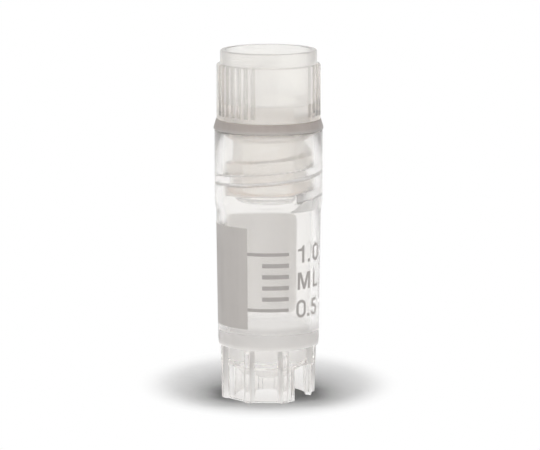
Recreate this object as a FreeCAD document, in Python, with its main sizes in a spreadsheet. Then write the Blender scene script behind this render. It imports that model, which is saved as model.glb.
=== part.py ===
import FreeCAD, Part
import math
import os

import Sketcher

# A self-standing cryovial: a moulded tube with an inside thread, a silicone seal, and a moulded screw cap.
# Lengths are in millimetres and angles in degrees. The tube stands on Z = 0 with its axis on Z.
# Directions round the axis are counted from +X towards +Y.

os.makedirs("parts", exist_ok=True)
doc = FreeCAD.newDocument("cryovial")

# ---------------------------------------------------------------- driving dimensions

SIZES = [
    # tube: neck and body
    ("neck_diameter", 12.5, "outside of the threaded neck, the widest part of the tube"),
    ("tube_height", 31.3, "foot to lip"),
    ("neck_length", 8.4, "straight neck, down from the lip"),
    ("neck_wall", 0.9, "wall of the neck at the root of its thread"),
    ("neck_taper", 1.0, "height over which the neck runs into the body"),
    ("body_step", 0.18, "how far the body lies inside the neck"),
    ("body_draft", 0.22, "how far the body narrows from the neck to the foot"),
    ("body_wall", 0.95, "wall of the body and of the round bottom"),
    ("lip_round", 0.2, "rounding of both edges of the lip"),
    # tube: foot
    ("foot_height", 6.2, "skirt, from its rim to the body's shoulder"),
    ("shoulder_height", 0.5, "slope between the skirt and the body"),
    ("bottom_lift", 2.1, "air under the round bottom"),
    ("foot_inset", 0.06, "how far the tops of the teeth lie inside the body"),
    ("foot_draft", 0.16, "how far the teeth lean in from top to rim"),
    ("tooth_height", 0.66, "how far a tooth stands out from the flats beside it"),
    ("tooth_count", 8, "upright teeth round the skirt"),
    ("tooth_tip", 0.72, "width of a tooth at its tip"),
    ("tooth_angle", -70.4, "direction of one tooth"),
    ("flat_width", 2.62, "flat between two teeth"),
    ("skirt_wall", 0.72, "wall of the skirt behind its flats"),
    ("slot_width", 3.8, "drain slot in the skirt"),
    ("slot_height", 4.0, "from the rim to the top of the slot"),
    ("slot_angle", -30.5, "direction of the slot"),
    # thread
    ("thread_lead", 2.67, "climb of the cap in one turn"),
    ("thread_drop", 7.65, "from the lip down to where the tube's thread starts"),
    ("thread_angle", -62, "direction in which the tube's thread starts"),
    ("tube_turns", 1.34, "turns of the tube's thread"),
    ("plug_turns", 1.75, "turns of the plug's thread"),
    ("plug_thread_inset", 1.0, "from the plug's end up to where its thread starts"),
    ("ridge_height", 0.85, "the plug's ridge, from core to tip"),
    ("ridge_root", 1.5, "the plug's ridge, width at the core"),
    ("ridge_tip", 1.0, "the plug's ridge, width at the tip"),
    ("flank_gap", 0.285, "play between the flanks, along the axis"),
    ("tip_gap", 0.3, "play between each ridge's tip and the wall that it faces"),
    ("ridge_bite", 0.25, "how deep a ridge is rooted in its own wall"),
    ("ridge_stub", 0.05, "what still stands of a ridge where it has run out"),
    ("run_out_radius", 2.5, "radius of the hollow in which the tube's ridge runs out"),
    ("step_height", 1.4, "flat-faced step under the start of the tube's ridge"),
    ("step_ahead", 32, "how far past that start the middle of the step lies"),
    ("step_setback", 0.1, "how far the step's face lies outside the ridge's tips"),
    # cap
    ("plug_length", 9.6, "from the flange to the plug's end"),
    ("plug_wall", 0.9, "wall and floor of the hollow plug"),
    ("plug_round", 1.2, "rounding of the plug's end"),
    ("well_round", 0.7, "rounding at the floor of the plug's well"),
    ("collar_length", 2.3, "plain collar between the flange and the thread"),
    ("collar_gap", 0.25, "radial play of the collar in the neck"),
    ("collar_chamfer", 0.3, "lead-in of the collar"),
    ("flange_thickness", 1.8, "from the seal to the ledge in the recess"),
    ("grip_inset", 0.25, "how far the grip lies inside the neck"),
    ("grip_height", 6.4, "grip, from the seal to its shoulder"),
    ("grip_round", 0.25, "rounding of the grip's shoulder"),
    ("flange_round", 0.12, "rounding of the grip's lower edge"),
    ("rim_inset", 0.42, "how far the rim lies inside the grip"),
    ("rim_height", 1.6, "rim above the grip's shoulder"),
    ("rim_wall", 0.62, "wall of the rim"),
    ("rim_round", 0.2, "rounding of both edges of the rim"),
    ("panel_count", 3, "smooth panels round the grip, with a grooved zone after each"),
    ("zone_grooves", 7, "grooves in a zone"),
    ("zone_angle", -133, "direction of the middle of one grooved zone"),
    ("groove_depth", 0.25, "depth of a groove"),
    ("groove_floor", 0.3, "width of a groove at its floor"),
    ("groove_mouth", 0.58, "width of a groove at the grip's surface"),
    ("groove_start", 0.6, "plain band under the grooves"),
    # seal
    ("seal_thickness", 1.2, "silicone washer between the flange and the lip"),
    ("seal_fit", 0.05, "radial play of the washer on the collar"),
    ("seal_bulge", 0.15, "how far the washer's lower edge stands outside the neck"),
    ("seal_slope", 0.35, "how far its upper edge lies inside its lower edge"),
]

sheet = doc.addObject("Spreadsheet::Sheet", "Sizes")
for row, (alias, value, meaning) in enumerate(SIZES, start=1):
    sheet.set(f"A{row}", meaning)
    sheet.set(f"B{row}", str(value))
    sheet.setAlias(f"B{row}", alias)
doc.recompute()


def size(formula):
    """What a formula on the sheet comes to."""
    return float(sheet.evalExpression(formula))


# Formulas for radii and heights that pieces share.
neck_radius = "(Sizes.neck_diameter / 2)"
body_top_radius = f"({neck_radius} - Sizes.body_step)"
body_low_radius = f"({body_top_radius} - Sizes.body_draft)"
mouth_radius = f"({neck_radius} - Sizes.neck_wall)"
bore_top_radius = f"({body_top_radius} - Sizes.body_wall)"
bore_low_radius = f"({body_low_radius} - Sizes.body_wall)"
neck_foot = "(Sizes.tube_height - Sizes.neck_length)"
body_top = f"({neck_foot} - Sizes.neck_taper)"
bottom_centre = f"(Sizes.bottom_lift + Sizes.body_wall + {bore_low_radius})"
tooth_top_radius = f"({body_low_radius} - Sizes.foot_inset)"
tooth_low_radius = f"({tooth_top_radius} - Sizes.foot_draft)"
flat_radius = f"({tooth_low_radius} - Sizes.tooth_height)"
skirt_bore = f"({flat_radius} - Sizes.skirt_wall)"
plug_tip_radius = f"({mouth_radius} - Sizes.tip_gap)"
core_radius = f"({plug_tip_radius} - Sizes.ridge_height)"
tube_tip_radius = f"({core_radius} + Sizes.tip_gap)"
collar_radius = f"({mouth_radius} - Sizes.collar_gap)"
grip_radius = f"({neck_radius} - Sizes.grip_inset)"
rim_radius = f"({grip_radius} - Sizes.rim_inset)"
recess_radius = f"({rim_radius} - Sizes.rim_wall)"
well_radius = f"({core_radius} - Sizes.plug_wall)"
cap_base = "(Sizes.tube_height + Sizes.seal_thickness - Sizes.plug_length)"


# ---------------------------------------------------------------- how bodies are drawn


def new_body(label, height="0"):
    """An empty body whose own Z = 0 lies at a height on the axis."""
    body = doc.addObject("PartDesign::Body", label)
    body.Label = label
    body.setExpression("Placement.Base.z", height)
    return body


def new_sketch(body, name, role, angle="0", height="0"):
    """A sketch on one of the body's origin planes, turned round Z by angle. On XY it can be raised to height."""
    on_floor = role == "XY_Plane"
    sketch = body.newObject("Sketcher::SketchObject", name)
    plane = next(feature for feature in body.Origin.OriginFeatures if feature.Role == role)
    sketch.AttachmentSupport = [(plane, "")]
    sketch.MapMode = "FlatFace"
    upwards = FreeCAD.Vector(0, 0, 1) if on_floor else FreeCAD.Vector(0, 1, 0)
    turn = FreeCAD.Rotation(upwards, size(angle))
    sketch.AttachmentOffset = FreeCAD.Placement(upwards * size(height), turn)
    sketch.setExpression("AttachmentOffset.Rotation.Angle", angle)
    sketch.setExpression("AttachmentOffset.Base.z" if on_floor else "AttachmentOffset.Base.y", height)
    return sketch


def bind(sketch, kind, places, formula, name):
    """A dimension of the sketch, with a name, that follows a formula."""
    number = sketch.addConstraint(Sketcher.Constraint(kind, *places, size(formula)))
    sketch.renameConstraint(number, name)
    sketch.setExpression(f"Constraints.{name}", formula)


def pin(sketch, edge, end, across, up, name):
    """Holds one end of an edge at its distances from the sketch's origin. A distance of None is left free."""
    for kind, formula, axis, letter in (("DistanceX", across, -2, "x"), ("DistanceY", up, -1, "z")):
        if formula == "0":
            sketch.addConstraint(Sketcher.Constraint("PointOnObject", edge, end, axis))
        elif formula is not None:
            bind(sketch, kind, (-1, 1, edge, end), formula, f"{name}_{letter}")


def outline(sketch, corners, bowls=None):
    """A closed outline through corners (name, across, up), with straight edges. An edge that starts at a corner
    named in bowls is instead an arc below a centre on the axis, at the height given there. One end of such
    an arc has no height of its own."""
    bowls = bowls or {}
    points = [[size(across), None if up is None else size(up)] for name, across, up in corners]
    edges = []
    for i, (name, across, up) in enumerate(corners):
        start, end = points[i], points[(i + 1) % len(corners)]
        if name not in bowls:
            edges.append(None)
            continue
        centre = size(bowls[name])
        known, free = (start, end) if end[1] is None else (end, start)
        radius = math.hypot(known[0], known[1] - centre)
        free[1] = centre - math.sqrt(radius**2 - free[0] ** 2)
        edges.append((centre, radius))
    ends = []
    for i, bowl in enumerate(edges):
        start, end = points[i], points[(i + 1) % len(corners)]
        if bowl is None:
            sketch.addGeometry(Part.LineSegment(FreeCAD.Vector(*start), FreeCAD.Vector(*end)), False)
            ends.append((1, 2))
            continue
        centre, radius = bowl
        circle = Part.Circle(FreeCAD.Vector(0, centre), FreeCAD.Vector(0, 0, 1), radius)
        first, last = (math.atan2(up - centre, across) for across, up in (start, end))
        sketch.addGeometry(Part.ArcOfCircle(circle, min(first, last), max(first, last)), False)
        ends.append((1, 2) if first < last else (2, 1))
    for i in range(len(corners)):
        following = (i + 1) % len(corners)
        joined = Sketcher.Constraint("Coincident", i, ends[i][1], following, ends[following][0])
        sketch.addConstraint(joined)
    for i, (name, across, up) in enumerate(corners):
        pin(sketch, i, ends[i][0], across, up, name)
        if name in bowls:
            pin(sketch, i, 3, "0", bowls[name], f"{name}_centre")


def wedge(sketch, near, far, near_width, far_width):
    """A cutter's outline, even about the sketch's X axis, that widens from near to far along it."""
    reach = [size(near), size(far)]
    half = [size(near_width) / 2, size(far_width) / 2]
    corners = [(reach[0], -half[0]), (reach[1], -half[1]), (reach[1], half[1]), (reach[0], half[0])]
    for i, start in enumerate(corners):
        end = corners[(i + 1) % 4]
        sketch.addGeometry(Part.LineSegment(FreeCAD.Vector(*start), FreeCAD.Vector(*end)), False)
    for i in range(4):
        sketch.addConstraint(Sketcher.Constraint("Coincident", i, 2, (i + 1) % 4, 1))
    sketch.addConstraint(Sketcher.Constraint("Symmetric", 0, 1, 2, 2, -1))
    sketch.addConstraint(Sketcher.Constraint("Symmetric", 0, 2, 2, 1, -1))
    bind(sketch, "DistanceX", (-1, 1, 3, 1), near, "near")
    bind(sketch, "DistanceX", (-1, 1, 1, 1), far, "far")
    bind(sketch, "DistanceY", (0, 1, 2, 2), near_width, "near_width")
    bind(sketch, "DistanceY", (0, 2, 2, 1), far_width, "far_width")


def revolve(body, sketch):
    turned = body.newObject("PartDesign::Revolution", f"{sketch.Name}_turned")
    turned.Profile = sketch
    turned.ReferenceAxis = (sketch, ["V_Axis"])
    turned.Angle = 360
    doc.recompute()
    return turned


def cut_up(body, sketch, length):
    """Cuts away what stands on the sketch, up to a length above it."""
    before = body.Tip.Shape.Volume
    cut = body.newObject("PartDesign::Pocket", f"{sketch.Name}_cut")
    cut.Profile = sketch
    cut.Reversed = True
    cut.setExpression("Length", length)
    doc.recompute()
    if not cut.Shape.Volume < before - 1e-3:
        raise ValueError(f"{cut.Name} cuts nothing")
    return cut


def circle_edges(feature, radius, height):
    """The names of the feature's round edges of one radius at one height."""
    names = []
    for number, edge in enumerate(feature.Shape.Edges, start=1):
        if not edge.Degenerated and isinstance(edge.Curve, Part.Circle):
            off_radius = abs(edge.Curve.Radius - size(radius))
            off_height = abs(edge.Curve.Center.z - size(height))
            if max(off_radius, off_height) < 1e-4:
                names.append(f"Edge{number}")
    if not names:
        raise ValueError(f"no round edge of radius {radius} at height {height}")
    return names


def soften(body, name, kind, amount, places):
    """A fillet or chamfer on the body's round edges at (radius, height) places."""
    base = body.Tip
    dressed = body.newObject(f"PartDesign::{kind}", name)
    dressed.Base = (base, [edge for place in places for edge in circle_edges(base, *place)])
    dressed.setExpression("Radius" if kind == "Fillet" else "Size", amount)
    doc.recompute()
    return dressed


def thread_ridge(body, name, section, angle, turns):
    """A ridge with this section, carried up a right-hand helix from a direction."""
    sketch = new_sketch(body, f"{name}_section", "XZ_Plane", angle=angle)
    outline(sketch, section)
    ridge = body.newObject("PartDesign::AdditiveHelix", name)
    ridge.Profile = sketch
    ridge.ReferenceAxis = (sketch, ["V_Axis"])
    ridge.Mode = "pitch-turns-angle"
    ridge.setExpression("Pitch", "Sizes.thread_lead")
    ridge.setExpression("Turns", turns)
    doc.recompute()
    return ridge


# ---------------------------------------------------------------- tube: wall, round bottom and skirt

tube = new_body("tube")
tube_section = new_sketch(tube, "tube_section", "XZ_Plane")
outline(
    tube_section,
    [
        ("rim_inside", skirt_bore, "0"),
        ("rim_outside", tooth_low_radius, "0"),
        ("tooth_top", tooth_top_radius, "Sizes.foot_height"),
        ("shoulder", body_low_radius, "Sizes.foot_height + Sizes.shoulder_height"),
        ("body_top", body_top_radius, body_top),
        ("neck_foot", neck_radius, neck_foot),
        ("lip_outside", neck_radius, "Sizes.tube_height"),
        ("lip_inside", mouth_radius, "Sizes.tube_height"),
        ("thread_floor", mouth_radius, neck_foot),
        ("bore_top", bore_top_radius, body_top),
        ("bore_low", bore_low_radius, bottom_centre),
        ("floor_inside", "0", None),
        ("floor_outside", "0", "Sizes.bottom_lift"),
        ("skirt_top", skirt_bore, None),
    ],
    bowls={"bore_low": bottom_centre, "floor_outside": bottom_centre},
)
revolve(tube, tube_section)
lip_edges = [(neck_radius, "Sizes.tube_height"), (mouth_radius, "Sizes.tube_height")]
soften(tube, "tube_lip", "Fillet", "min(Sizes.lip_round; Sizes.neck_wall / 3)", lip_edges)

# Flats between the teeth. Each cutter runs out along the flanks of its two teeth, past their tips.
half_pitch = "(180 / Sizes.tooth_count)"
tip_corner_x = f"({tooth_low_radius} * cos({half_pitch}) + Sizes.tooth_tip / 2 * sin({half_pitch}))"
tip_corner_y = f"({tooth_low_radius} * sin({half_pitch}) - Sizes.tooth_tip / 2 * cos({half_pitch}))"
flank_reach = 3
flat = new_sketch(tube, "flat", "XY_Plane", angle=f"Sizes.tooth_angle + {half_pitch}")
wedge(
    flat,
    near=flat_radius,
    far=f"{flat_radius} + {flank_reach} * ({tip_corner_x} - {flat_radius})",
    near_width="Sizes.flat_width",
    far_width=f"Sizes.flat_width + {flank_reach} * (2 * {tip_corner_y} - Sizes.flat_width)",
)
flat_cut = cut_up(tube, flat, "Sizes.foot_height")
flats = tube.newObject("PartDesign::PolarPattern", "flats")
flats.Originals = [flat_cut]
flats.Axis = (flat, ["N_Axis"])
flats.Angle = 360
flats.setExpression("Occurrences", "Sizes.tooth_count")
tube.Tip = flats
doc.recompute()

# Drain slot, straight through the skirt, where one tooth would stand.
slot = new_sketch(tube, "slot", "XY_Plane", angle="Sizes.slot_angle")
wedge(
    slot,
    near=f"{skirt_bore} - Sizes.skirt_wall / 2",
    far=neck_radius,
    near_width="Sizes.slot_width",
    far_width="Sizes.slot_width",
)
cut_up(tube, slot, "Sizes.slot_height")

# ---------------------------------------------------------------- thread: one helix for both ridges

# The tube's ridge fills what the plug's ridge leaves of the lead, less the play on both sides.
flank_slope = "((Sizes.ridge_root - Sizes.ridge_tip) / Sizes.ridge_height)"
gap_at_core = "(Sizes.thread_lead - Sizes.ridge_root - 2 * Sizes.flank_gap)"
thread_foot = "(Sizes.tube_height - Sizes.thread_drop)"
thread_rise = "(Sizes.thread_lead * Sizes.tube_turns)"


def ridge_section(root_radius, tip_radius, root_width, tip_width, height):
    """A ridge's section, even about a height, from its root to its tip."""
    return [
        ("root_low", root_radius, f"{height} - {root_width} / 2"),
        ("tip_low", tip_radius, f"{height} - {tip_width} / 2"),
        ("tip_high", tip_radius, f"{height} + {tip_width} / 2"),
        ("root_high", root_radius, f"{height} + {root_width} / 2"),
    ]


def tube_ridge_width(radius):
    return f"({gap_at_core} + {flank_slope} * ({radius} - {core_radius}))"


def plug_ridge_width(radius):
    return f"(Sizes.ridge_root - {flank_slope} * ({radius} - {core_radius}))"


tube_root_radius = f"({mouth_radius} + Sizes.ridge_bite)"
thread_ridge(
    tube,
    "tube_thread",
    ridge_section(
        tube_root_radius,
        tube_tip_radius,
        tube_ridge_width(tube_root_radius),
        tube_ridge_width(tube_tip_radius),
        thread_foot,
    ),
    "Sizes.thread_angle",
    "Sizes.tube_turns",
)

# The start of the ridge stands on a short step, whose face is a flat chord of the bore.
step = new_sketch(
    tube,
    "thread_step",
    "XY_Plane",
    angle="Sizes.thread_angle + Sizes.step_ahead",
    height=f"{thread_foot} - Sizes.step_height",
)
step_face = f"({tube_tip_radius} + Sizes.step_setback)"
half_span = math.acos(size(f"{step_face} / {tube_root_radius}"))
rim = Part.Circle(FreeCAD.Vector(), FreeCAD.Vector(0, 0, 1), size(tube_root_radius))
step.addGeometry(Part.ArcOfCircle(rim, -half_span, half_span), False)
low_end, high_end = (step.Geometry[0].value(angle) for angle in (-half_span, half_span))
step.addGeometry(Part.LineSegment(high_end, low_end), False)
step.addConstraint(Sketcher.Constraint("Coincident", 0, 3, -1, 1))
step.addConstraint(Sketcher.Constraint("Coincident", 0, 2, 1, 1))
step.addConstraint(Sketcher.Constraint("Coincident", 1, 2, 0, 1))
step.addConstraint(Sketcher.Constraint("Vertical", 1))
bind(step, "Radius", (0,), tube_root_radius, "root")
bind(step, "DistanceX", (-1, 1, 1, 1), step_face, "face")
step_pad = tube.newObject("PartDesign::Pad", "thread_step_pad")
step_pad.Profile = step
step_pad.setExpression("Length", "Sizes.step_height")
doc.recompute()


def run_out_in_neck(name, angle, floor, height):
    """Lets the tube's ridge run out into the wall, in a round hollow off the axis."""
    sketch = new_sketch(tube, name, "XY_Plane", angle=angle, height=floor)
    radius = "Sizes.run_out_radius"
    offset = f"({mouth_radius} - Sizes.ridge_stub - {radius})"
    circle = Part.Circle(FreeCAD.Vector(size(offset)), FreeCAD.Vector(0, 0, 1), size(radius))
    sketch.addGeometry(circle, False)
    sketch.addConstraint(Sketcher.Constraint("PointOnObject", 0, 3, -1))
    bind(sketch, "DistanceX", (-1, 1, 0, 3), offset, "offset")
    bind(sketch, "Radius", (0,), radius, "radius")
    cut_up(tube, sketch, height)


# A run-out takes in the ridge's whole width and what it climbs meanwhile, and stops short of the next turn.
run_out_height = f"({tube_ridge_width(mouth_radius)} + Sizes.thread_lead / 8)"
tube_ridge_half = f"({tube_ridge_width(mouth_radius)} / 2)"
run_out_in_neck(
    "tube_thread_start", "Sizes.thread_angle", f"{thread_foot} - {tube_ridge_half}", run_out_height
)
run_out_in_neck(
    "tube_thread_end",
    "Sizes.thread_angle + 360 * Sizes.tube_turns",
    f"{thread_foot} + {thread_rise} + {tube_ridge_half} - {run_out_height}",
    run_out_height,
)

# ---------------------------------------------------------------- cap: plug, collar, grip and rim

cap = new_body("cap", height=cap_base)
grip_top = "(Sizes.plug_length + Sizes.grip_height)"
cap_top = f"({grip_top} + Sizes.rim_height)"
collar_foot = "(Sizes.plug_length - Sizes.collar_length)"
ledge = "(Sizes.plug_length + Sizes.flange_thickness)"
cap_section = new_sketch(cap, "cap_section", "XZ_Plane")
outline(
    cap_section,
    [
        ("plug_end", "0", "0"),
        ("plug_corner", core_radius, "0"),
        ("core_top", core_radius, collar_foot),
        ("collar_foot", collar_radius, collar_foot),
        ("collar_top", collar_radius, "Sizes.plug_length"),
        ("flange_edge", grip_radius, "Sizes.plug_length"),
        ("grip_top", grip_radius, grip_top),
        ("rim_foot", rim_radius, grip_top),
        ("rim_outside", rim_radius, cap_top),
        ("rim_inside", recess_radius, cap_top),
        ("ledge_outside", recess_radius, ledge),
        ("ledge_inside", well_radius, ledge),
        ("well_corner", well_radius, "Sizes.plug_wall"),
        ("well_floor", "0", "Sizes.plug_wall"),
    ],
)
revolve(cap, cap_section)
soften(cap, "plug_nose", "Fillet", "Sizes.plug_round", [(core_radius, "0")])
soften(cap, "well_bottom", "Fillet", "Sizes.well_round", [(well_radius, "Sizes.plug_wall")])
soften(cap, "collar_lead_in", "Chamfer", "Sizes.collar_chamfer", [(collar_radius, collar_foot)])
soften(cap, "flange_corner", "Fillet", "Sizes.flange_round", [(grip_radius, "Sizes.plug_length")])
soften(cap, "grip_shoulder", "Fillet", "Sizes.grip_round", [(grip_radius, grip_top)])
rim_edges = [(rim_radius, cap_top), (recess_radius, cap_top)]
soften(cap, "rim_edges", "Fillet", "min(Sizes.rim_round; Sizes.rim_wall / 3)", rim_edges)

# Grooves leave ribs between them. A zone of grooves is as wide as a smooth panel.
groove_pitch = "(180 / Sizes.panel_count / Sizes.zone_grooves)"
first_groove = f"Sizes.zone_angle - {groove_pitch} * (Sizes.zone_grooves - 1) / 2"
groove_foot = "(Sizes.plug_length + Sizes.groove_start)"
groove = new_sketch(cap, "groove", "XY_Plane", angle=first_groove, height=groove_foot)
wedge(
    groove,
    near=f"{grip_radius} - Sizes.groove_depth",
    far=f"{grip_radius} + Sizes.groove_depth",
    near_width="Sizes.groove_floor",
    far_width="2 * Sizes.groove_mouth - Sizes.groove_floor",
)
groove_cut = cut_up(cap, groove, "Sizes.grip_height")
grooves = cap.newObject("PartDesign::MultiTransform", "grooves")
grooves.Originals = [groove_cut]
within_zone = cap.newObject("PartDesign::PolarPattern", "within_zone")
within_zone.Axis = (groove, ["N_Axis"])
within_zone.setExpression("Angle", f"{groove_pitch} * (Sizes.zone_grooves - 1)")
within_zone.setExpression("Occurrences", "Sizes.zone_grooves")
round_grip = cap.newObject("PartDesign::PolarPattern", "round_grip")
round_grip.Axis = (groove, ["N_Axis"])
round_grip.Angle = 360
round_grip.setExpression("Occurrences", "Sizes.panel_count")
grooves.Transformations = [within_zone, round_grip]
cap.Tip = grooves
doc.recompute()

# The plug's ridge lies midway between two turns of the tube's, so its height sets the direction it starts in.
plug_thread_foot = "Sizes.plug_thread_inset"
above_midway = f"({cap_base} + {plug_thread_foot} - {thread_foot} - Sizes.thread_lead / 2)"
plug_thread_angle = f"(Sizes.thread_angle + 360 * {above_midway} / Sizes.thread_lead)"
plug_root_radius = f"({core_radius} - Sizes.ridge_bite)"
thread_ridge(
    cap,
    "plug_thread",
    ridge_section(
        plug_root_radius,
        plug_tip_radius,
        plug_ridge_width(plug_root_radius),
        plug_ridge_width(plug_tip_radius),
        plug_thread_foot,
    ),
    plug_thread_angle,
    "Sizes.plug_turns",
)


def run_out_on_plug(name, angle, floor, height):
    """Lets the plug's ridge run out along a plane that just misses the core."""
    sketch = new_sketch(cap, name, "XY_Plane", angle=angle, height=floor)
    breadth = f"2 * {plug_tip_radius}"
    wedge(sketch, f"{core_radius} + Sizes.ridge_stub", mouth_radius, breadth, breadth)
    cut_up(cap, sketch, height)


plug_run_out = "(Sizes.ridge_root + Sizes.thread_lead / 8)"
plug_thread_rise = "(Sizes.thread_lead * Sizes.plug_turns)"
run_out_on_plug(
    "plug_thread_start", plug_thread_angle, f"{plug_thread_foot} - Sizes.ridge_root / 2", plug_run_out
)
run_out_on_plug(
    "plug_thread_end",
    f"{plug_thread_angle} + 360 * Sizes.plug_turns",
    f"{plug_thread_foot} + {plug_thread_rise} + Sizes.ridge_root / 2 - {plug_run_out}",
    plug_run_out,
)

# ---------------------------------------------------------------- seal

seal = new_body("seal", height="Sizes.tube_height")
seal_section = new_sketch(seal, "seal_section", "XZ_Plane")
seal_bore = f"({collar_radius} + Sizes.seal_fit)"
seal_radius = f"({neck_radius} + Sizes.seal_bulge)"
outline(
    seal_section,
    [
        ("bore_low", seal_bore, "0"),
        ("edge_low", seal_radius, "0"),
        ("edge_high", f"{seal_radius} - Sizes.seal_slope", "Sizes.seal_thickness"),
        ("bore_high", seal_bore, "Sizes.seal_thickness"),
    ],
)
revolve(seal, seal_section)

# ---------------------------------------------------------------- checks and files

doc.recompute()
for thing in doc.Objects:
    if {"Invalid", "Error"} & set(thing.State):
        raise ValueError(f"{thing.Name} failed: {thing.State}")
for body in (tube, cap, seal):
    shape = body.Shape
    if shape.isNull() or not shape.isValid() or len(shape.Solids) != 1:
        raise ValueError(f"{body.Label} isn't one valid solid")
for body in (tube, cap, seal):
    body.Shape.exportStep(f"parts/{body.Label}.step")
    print(f"{body.Label}: {body.Shape.Volume:.2f} mm3")
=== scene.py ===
import math

import bmesh
import bpy
from mathutils import Matrix, Vector


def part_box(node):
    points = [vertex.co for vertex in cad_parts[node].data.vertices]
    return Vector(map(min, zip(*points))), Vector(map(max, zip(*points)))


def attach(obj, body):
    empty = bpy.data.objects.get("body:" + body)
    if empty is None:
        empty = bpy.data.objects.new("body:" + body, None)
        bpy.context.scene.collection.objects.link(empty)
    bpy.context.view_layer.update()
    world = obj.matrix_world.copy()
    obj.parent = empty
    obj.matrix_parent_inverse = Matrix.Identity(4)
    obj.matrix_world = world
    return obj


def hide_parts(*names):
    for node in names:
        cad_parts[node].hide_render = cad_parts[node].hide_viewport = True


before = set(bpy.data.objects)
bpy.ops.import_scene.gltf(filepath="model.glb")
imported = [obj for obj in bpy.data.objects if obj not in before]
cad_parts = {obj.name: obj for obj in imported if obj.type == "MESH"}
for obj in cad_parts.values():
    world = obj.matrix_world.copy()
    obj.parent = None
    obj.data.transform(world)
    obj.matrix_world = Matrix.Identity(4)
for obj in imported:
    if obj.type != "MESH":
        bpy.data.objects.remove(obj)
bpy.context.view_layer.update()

# ---------------------------------------------------------------- tube
# One injection moulding in natural polypropylene: a body with a little draft and a round bottom, a
# wider neck with a coarse thread inside, and a skirt with upright teeth and a drain slot to stand
# on. Meshes are made in millimetres first, and directions are degrees from +X towards +Y.
MM = 0.001
TUBE_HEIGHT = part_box("tube")[1].z / MM
NECK_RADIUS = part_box("tube")[1].x / MM
NECK_LENGTH = 8.4
NECK_WALL = 0.9
NECK_STEP = 0.18
BODY_WALL = 0.95
BODY_DRAFT = 0.22
BOTTOM_LIFT = 2.1
FOOT_HEIGHT = 6.2
TOOTH_DRAFT = 0.16
TOOTH_DEPTH = 0.66
SKIRT_WALL = 0.72
NECK_FOOT = TUBE_HEIGHT - NECK_LENGTH
BODY_TOP = NECK_FOOT - 1.0
BODY_FOOT = FOOT_HEIGHT + 0.5
BODY_TOP_RADIUS = NECK_RADIUS - NECK_STEP
BODY_LOW_RADIUS = BODY_TOP_RADIUS - BODY_DRAFT
MOUTH_RADIUS = NECK_RADIUS - NECK_WALL
BORE_TOP_RADIUS = BODY_TOP_RADIUS - BODY_WALL
BORE_LOW_RADIUS = BODY_LOW_RADIUS - BODY_WALL
BOTTOM_CENTRE = BOTTOM_LIFT + BODY_LOW_RADIUS
TOOTH_TOP_RADIUS = BODY_LOW_RADIUS - 0.06
TOOTH_LOW_RADIUS = TOOTH_TOP_RADIUS - TOOTH_DRAFT
FLAT_RADIUS = TOOTH_LOW_RADIUS - TOOTH_DEPTH
SKIRT_BORE = FLAT_RADIUS - SKIRT_WALL


def outline(corners):
    """A bmesh with half a section, drawn in X and Z.

    A corner is (radius, height) or (radius, height, rounding).
    """
    bm = bmesh.new()
    verts = [bm.verts.new((corner[0], 0, corner[1])) for corner in corners]
    for vert, following in zip(verts, verts[1:] + verts[:1]):
        if vert.co.x > 0 or following.co.x > 0:
            bm.edges.new((vert, following))
    for vert, corner in zip(verts, corners):
        if len(corner) == 3:
            bmesh.ops.bevel(
                bm,
                geom=[vert],
                offset=corner[2],
                offset_type="OFFSET",
                segments=4,
                profile=0.5,
                affect="VERTICES",
                material=-1,
            )
    return bm


def add_bowl(bm, radius, centre, lean, rows):
    """Adds the arc of a round bottom, from the axis to where it leans that many degrees."""
    lowest = bm.verts.new((0, 0, centre - radius))
    middle = (0, 0, centre)
    angle = math.radians(lean)
    bmesh.ops.spin(bm, geom=[lowest], cent=middle, axis=(0, -1, 0), angle=angle, steps=rows)
    bmesh.ops.remove_doubles(bm, verts=bm.verts, dist=1e-3)


def add_rows(bm, low, high, near, far, spacing):
    """Divides the section's edges between two heights and two radii, for a thread or teeth."""
    for edge in list(bm.edges):
        middle = (edge.verts[0].co + edge.verts[1].co) / 2
        cuts = math.ceil(edge.calc_length() / spacing) - 1
        if low < middle.z < high and near < middle.x < far and cuts > 0:
            bmesh.ops.subdivide_edges(bm, edges=[edge], cuts=cuts)


def turn_round(bm, wedges, columns, direction=0.0):
    """Spins the section through one wedge, and repeats that wedge until it closes."""
    start = Matrix.Rotation(math.radians(direction), 3, "Z")
    bmesh.ops.rotate(bm, verts=bm.verts, cent=(0, 0, 0), matrix=start)
    wedge = 2 * math.pi / wedges
    axis = {"cent": (0, 0, 0), "axis": (0, 0, 1)}
    bmesh.ops.spin(bm, geom=bm.verts[:] + bm.edges[:], angle=wedge, steps=columns, **axis)
    bmesh.ops.remove_doubles(bm, verts=bm.verts, dist=1e-4)
    whole = bm.verts[:] + bm.edges[:] + bm.faces[:]
    repeats = wedges - 1
    bmesh.ops.spin(
        bm, geom=whole, angle=wedge * repeats, steps=repeats, use_duplicate=True, **axis
    )
    bmesh.ops.remove_doubles(bm, verts=bm.verts, dist=1e-4)
    bmesh.ops.recalc_face_normals(bm, faces=bm.faces)


def ease(value, zero_at, one_at):
    """From 0 to 1 between two values, levelling out at both."""
    share = min(max((value - zero_at) / (one_at - zero_at), 0.0), 1.0)
    return share * share * (3 - 2 * share)


def off_direction(vert, direction):
    """How far round the axis a point lies from a direction, between -180 and 180."""
    return (math.degrees(math.atan2(vert.co.y, vert.co.x)) - direction + 180) % 360 - 180


def off_nearest(vert, direction, pitch):
    """The same from the nearest of several directions, a pitch apart."""
    return abs((off_direction(vert, direction) + 360 + pitch / 2) % pitch - pitch / 2)


def set_radius(vert, radius):
    vert.co.xy = vert.co.xy.normalized() * radius


THREAD_LEAD = 2.67
RUN_OUT_TURNS = 0.09


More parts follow.
